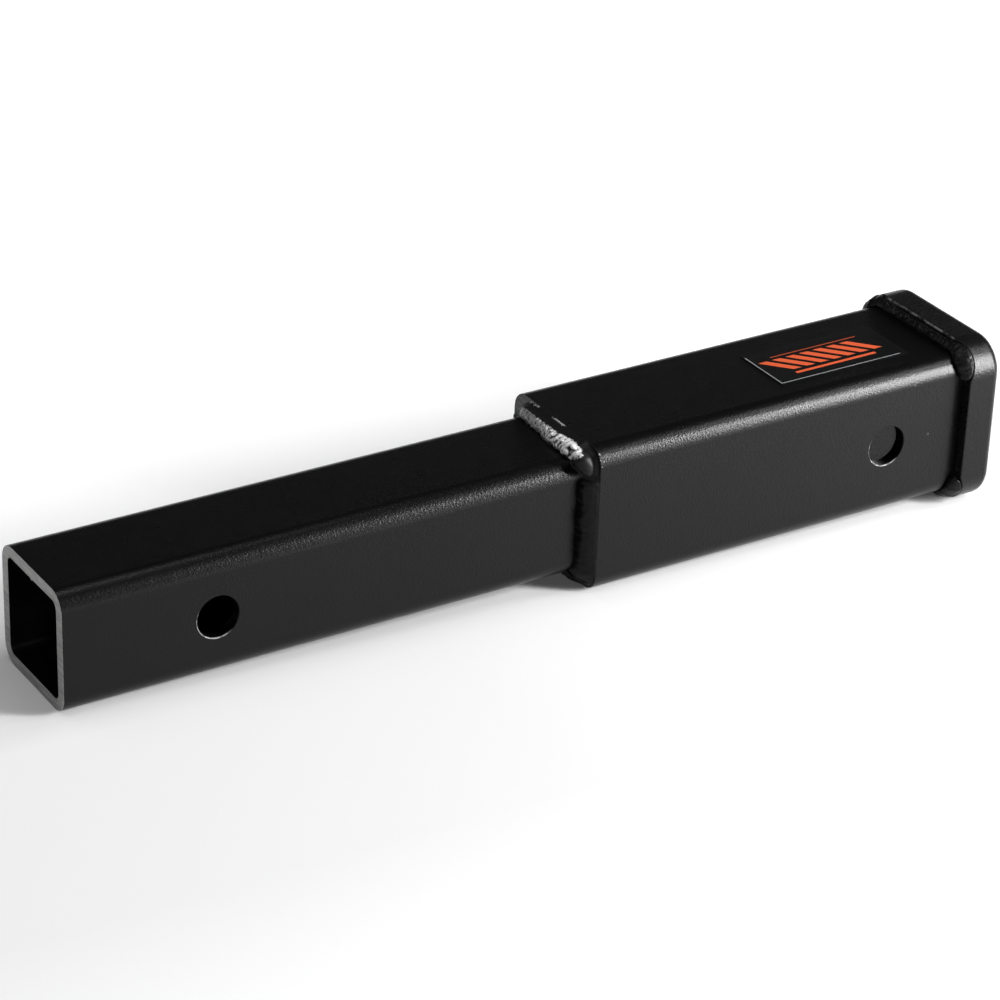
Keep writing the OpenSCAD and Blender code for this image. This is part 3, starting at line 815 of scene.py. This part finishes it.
def label_film(name):
    n = Nodes(name)
    x, y, z = n.axes()
    along = n.maths("SUBTRACT", x, (label_low.x + label_high.x) / 2)
    over = n.maths("SUBTRACT", y, (label_low.y + label_high.y) / 2)
    half_length, half_width = (label_high.x - label_low.x) / 2, (label_high.y - label_low.y) / 2

    def inside(value, half, soft=0.00006):
        return n.ramp(n.maths("ABSOLUTE", value), half + soft, half - soft)

    border_in, border_width = 0.9 * mm, 0.4 * mm
    bar_pitch, bar_gap, bar_width, bar_slant = 6.8 * mm, 0.1 * mm, 4.2 * mm, 0.9
    row_half, row_rise = 23.8 * mm, 5.5 * mm
    line_out = n.maths("MULTIPLY", inside(along, half_length - border_in),
                       inside(over, half_width - border_in))
    line_in = n.maths("MULTIPLY", inside(along, half_length - border_in - border_width),
                      inside(over, half_width - border_in - border_width))
    clear = n.maths("MULTIPLY", n.ramp(over, 0.0128, 0.0124),
                    n.ramp(along, half_length - 0.0030, half_length - 0.0040))
    line = n.maths("MULTIPLY", n.maths("SUBTRACT", line_out, line_in), n.mix(clear, 0.012, 1.0))
    slanted = n.maths("ADD", n.maths("ADD", along, n.maths("MULTIPLY", over, bar_slant)), row_half)
    wave = n.maths("MODULO", slanted, bar_pitch)
    bars = n.maths("MULTIPLY", n.ramp(wave, bar_gap, 2 * bar_gap),
                   n.ramp(wave, bar_width + bar_gap, bar_width))
    bars = n.maths("MULTIPLY", bars, inside(n.maths("SUBTRACT", slanted, row_half), row_half))
    bars = n.maths("MULTIPLY", bars, inside(n.maths("SUBTRACT", over, 0.5 * mm), row_rise))
    rule = n.maths("MULTIPLY", inside(n.maths("ADD", over, 8 * mm), 0.8 * mm), inside(along, 20 * mm))
    thin_rule = n.maths("MULTIPLY", inside(n.maths("SUBTRACT", over, 8.2 * mm), 0.3 * mm),
                        inside(along, 21.5 * mm))
    bars = n.maths("MAXIMUM", bars, n.maths("MAXIMUM", rule, n.maths("MULTIPLY", thin_rule, 0.6)))
    print_grain = n.noise(2600, 3, 0.6)
    film = n.blend(n.ramp(print_grain, 0.4, 0.7), (0.0018, 0.0019, 0.0020, 1), (0.0034, 0.0035, 0.0037, 1))
    colour = n.blend(line, film, (0.30, 0.31, 0.32, 1))
    ink = n.blend(n.ramp(print_grain, 0.3, 0.75), (0.55, 0.082, 0.028, 1), (0.63, 0.105, 0.038, 1))
    colour = n.blend(bars, colour, ink)
    rough = n.mix(n.ramp(n.noise(300, 3, 0.6), 0.3, 0.7), 0.32, 0.37)
    surface = n.bump(n.noise(800, 2, 0.5), 0.00002)
    cut_edge = n.ramp(z, label_high.z - 0.00002, label_high.z - 0.00006)
    return n.set(Base_Color=colour, Roughness=rough, Normal=surface, IOR=n.mix(cut_edge, 1.31, 1.02))


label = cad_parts["label"]
label.data.materials.clear()
label.data.materials.append(label_film("label_film"))

# Studio.
# The part lies on a pale floor, on the shank's end and the collar, so the floor is tilted a little
# in the part's own frame. Soft boxes stand over it and to the right.
collar_bottom = -(receiver_half + collar_fit + collar_bar)
touch_a = Vector((shank_start * mm, 0, -shank_half * mm))
touch_b = Vector(((collar_x + rear_round) * mm, 0, collar_bottom * mm))
lean = math.atan2(touch_a.z - touch_b.z, touch_b.x - touch_a.x)


def looked_at(n):
    """1 on the rays that look and 0 on those that light, so that a glow puts no more light on the part."""
    rays = n.add("LightPath")
    mirrored = n.maths("MAXIMUM", rays.outputs["Is Glossy Ray"], rays.outputs["Is Transmission Ray"])
    return n.maths("MAXIMUM", rays.outputs["Is Camera Ray"], mirrored)


floor_mesh = bpy.data.meshes.new("floor")
size = 14.0
floor_corners = [(-size, -size, 0), (size, -size, 0), (size, size, 0), (-size, size, 0)]
floor_mesh.from_pydata(floor_corners, [], [(0, 1, 2, 3)])
floor = bpy.data.objects.new("floor", floor_mesh)
floor.matrix_world = Matrix.Translation(touch_a) @ Matrix.Rotation(lean, 4, "Y")
bpy.context.collection.objects.link(floor)
n = Nodes("floor_white")
n.set(Base_Color=(0.66, 0.66, 0.66, 1), Roughness=0.9)
floor_x, floor_y = n.axes()[:2]
open_end_to_step = (step_x - shank_start) * mm
behind = n.ramp(floor_y, 0.02, 0.20, 0.08, 0.60)
in_front = n.ramp(floor_y, -0.15, -0.40, 0, 0.35)
past_open_end = n.ramp(floor_x, 0.15, -0.15, 0, 0.15)
level = n.maths("ADD", n.maths("ADD", behind, in_front), past_open_end)
# Close round the part's footprint the glow falls to six tenths: a painted contact shadow.
side = n.ramp(floor_x, open_end_to_step - 0.0013, open_end_to_step + 0.0007, shank_half * mm, 0.0318)
beside = n.maths("SUBTRACT", n.maths("ABSOLUTE", floor_y), side)
level = n.maths("MULTIPLY", level, n.ramp(beside, 0.001, 0.014, 0.6, 1))
away = n.distance((0.2, 0, 0))
level = n.maths("ADD", level, n.ramp(away, 0.6, 1.6, 0, 0.7))
glow = n.add("Emission", (1, 1, 1, 1), n.maths("MULTIPLY", looked_at(n), level))
both = n.add("AddShader", n.shader.outputs[0], glow.outputs[0])
n.tree.links.new(both.outputs[0], n.tree.nodes["Material Output"].inputs["Surface"])
floor_mesh.materials.append(n.material)

sky = Nodes("studio", world=True)
near_horizon = sky.ramp(sky.axes()[2], 0.08, 0.17, 1, 0)
white = sky.maths("MULTIPLY", looked_at(sky), near_horizon)
sky.set(Color=sky.blend(white, (0.045, 0.045, 0.047, 1), (1, 1, 1, 1)))
bpy.context.scene.world = sky.material


def soft_box(name, at, aim, width, height, radiance):
    """Square lamp that is seen as a surface of that radiance, where 1 is white."""
    lamp = bpy.data.lights.new(name, "AREA")
    lamp.shape = "RECTANGLE"
    lamp.size, lamp.size_y = width, height
    lamp.energy = radiance * math.pi * width * height
    item = bpy.data.objects.new(name, lamp)
    item.location = at
    item.rotation_euler = (Vector(aim) - Vector(at)).to_track_quat("-Z", "Y").to_euler()
    bpy.context.collection.objects.link(item)
    return item


soft_box("key_box", (0.99, -0.7325, 0.34), (0.33, 0, 0), 0.20, 0.70, 84.0)
soft_box("upper_fill", (1.08, -0.38, 0.86), (0.32, 0, 0), 0.28, 0.42, 10.0)
soft_box("overhead_strip", (0.0636, -0.0503, 1.096), (0.0365, 0, 0), 0.81, 0.226, 4.3)
soft_box("top_box", (-0.40, 0.30, 1.15), (0.1, 0, 0), 0.9, 0.9, 1.0)

camera_azimuth, camera_elevation, camera_roll = (math.radians(v) for v in (-32.654, 28.102, 2.083))
camera_distance, camera_focus = 1.4184, Vector((138.236 * mm, 0, 2.163 * mm))
focal_pixels, picture_pixels, sensor_width = 3602.9, 1000, 36.0
back = Vector((math.sin(camera_azimuth) * math.cos(camera_elevation),
               -math.cos(camera_azimuth) * math.cos(camera_elevation), math.sin(camera_elevation)))
right = Vector((math.cos(camera_azimuth), math.sin(camera_azimuth), 0))
up = back.cross(right)
rolled_right = math.cos(camera_roll) * right + math.sin(camera_roll) * up
rolled_up = -math.sin(camera_roll) * right + math.cos(camera_roll) * up
camera = bpy.data.objects.new("camera", bpy.data.cameras.new("camera"))
camera.data.sensor_width = sensor_width
camera.data.lens = sensor_width * focal_pixels / picture_pixels
camera.data.clip_end = 60
turned = Matrix((rolled_right, rolled_up, back)).transposed().to_4x4()
camera.matrix_world = Matrix.Translation(camera_focus + back * camera_distance) @ turned
bpy.context.collection.objects.link(camera)
bpy.context.scene.camera = camera
bpy.context.scene.view_settings.view_transform = "Standard"
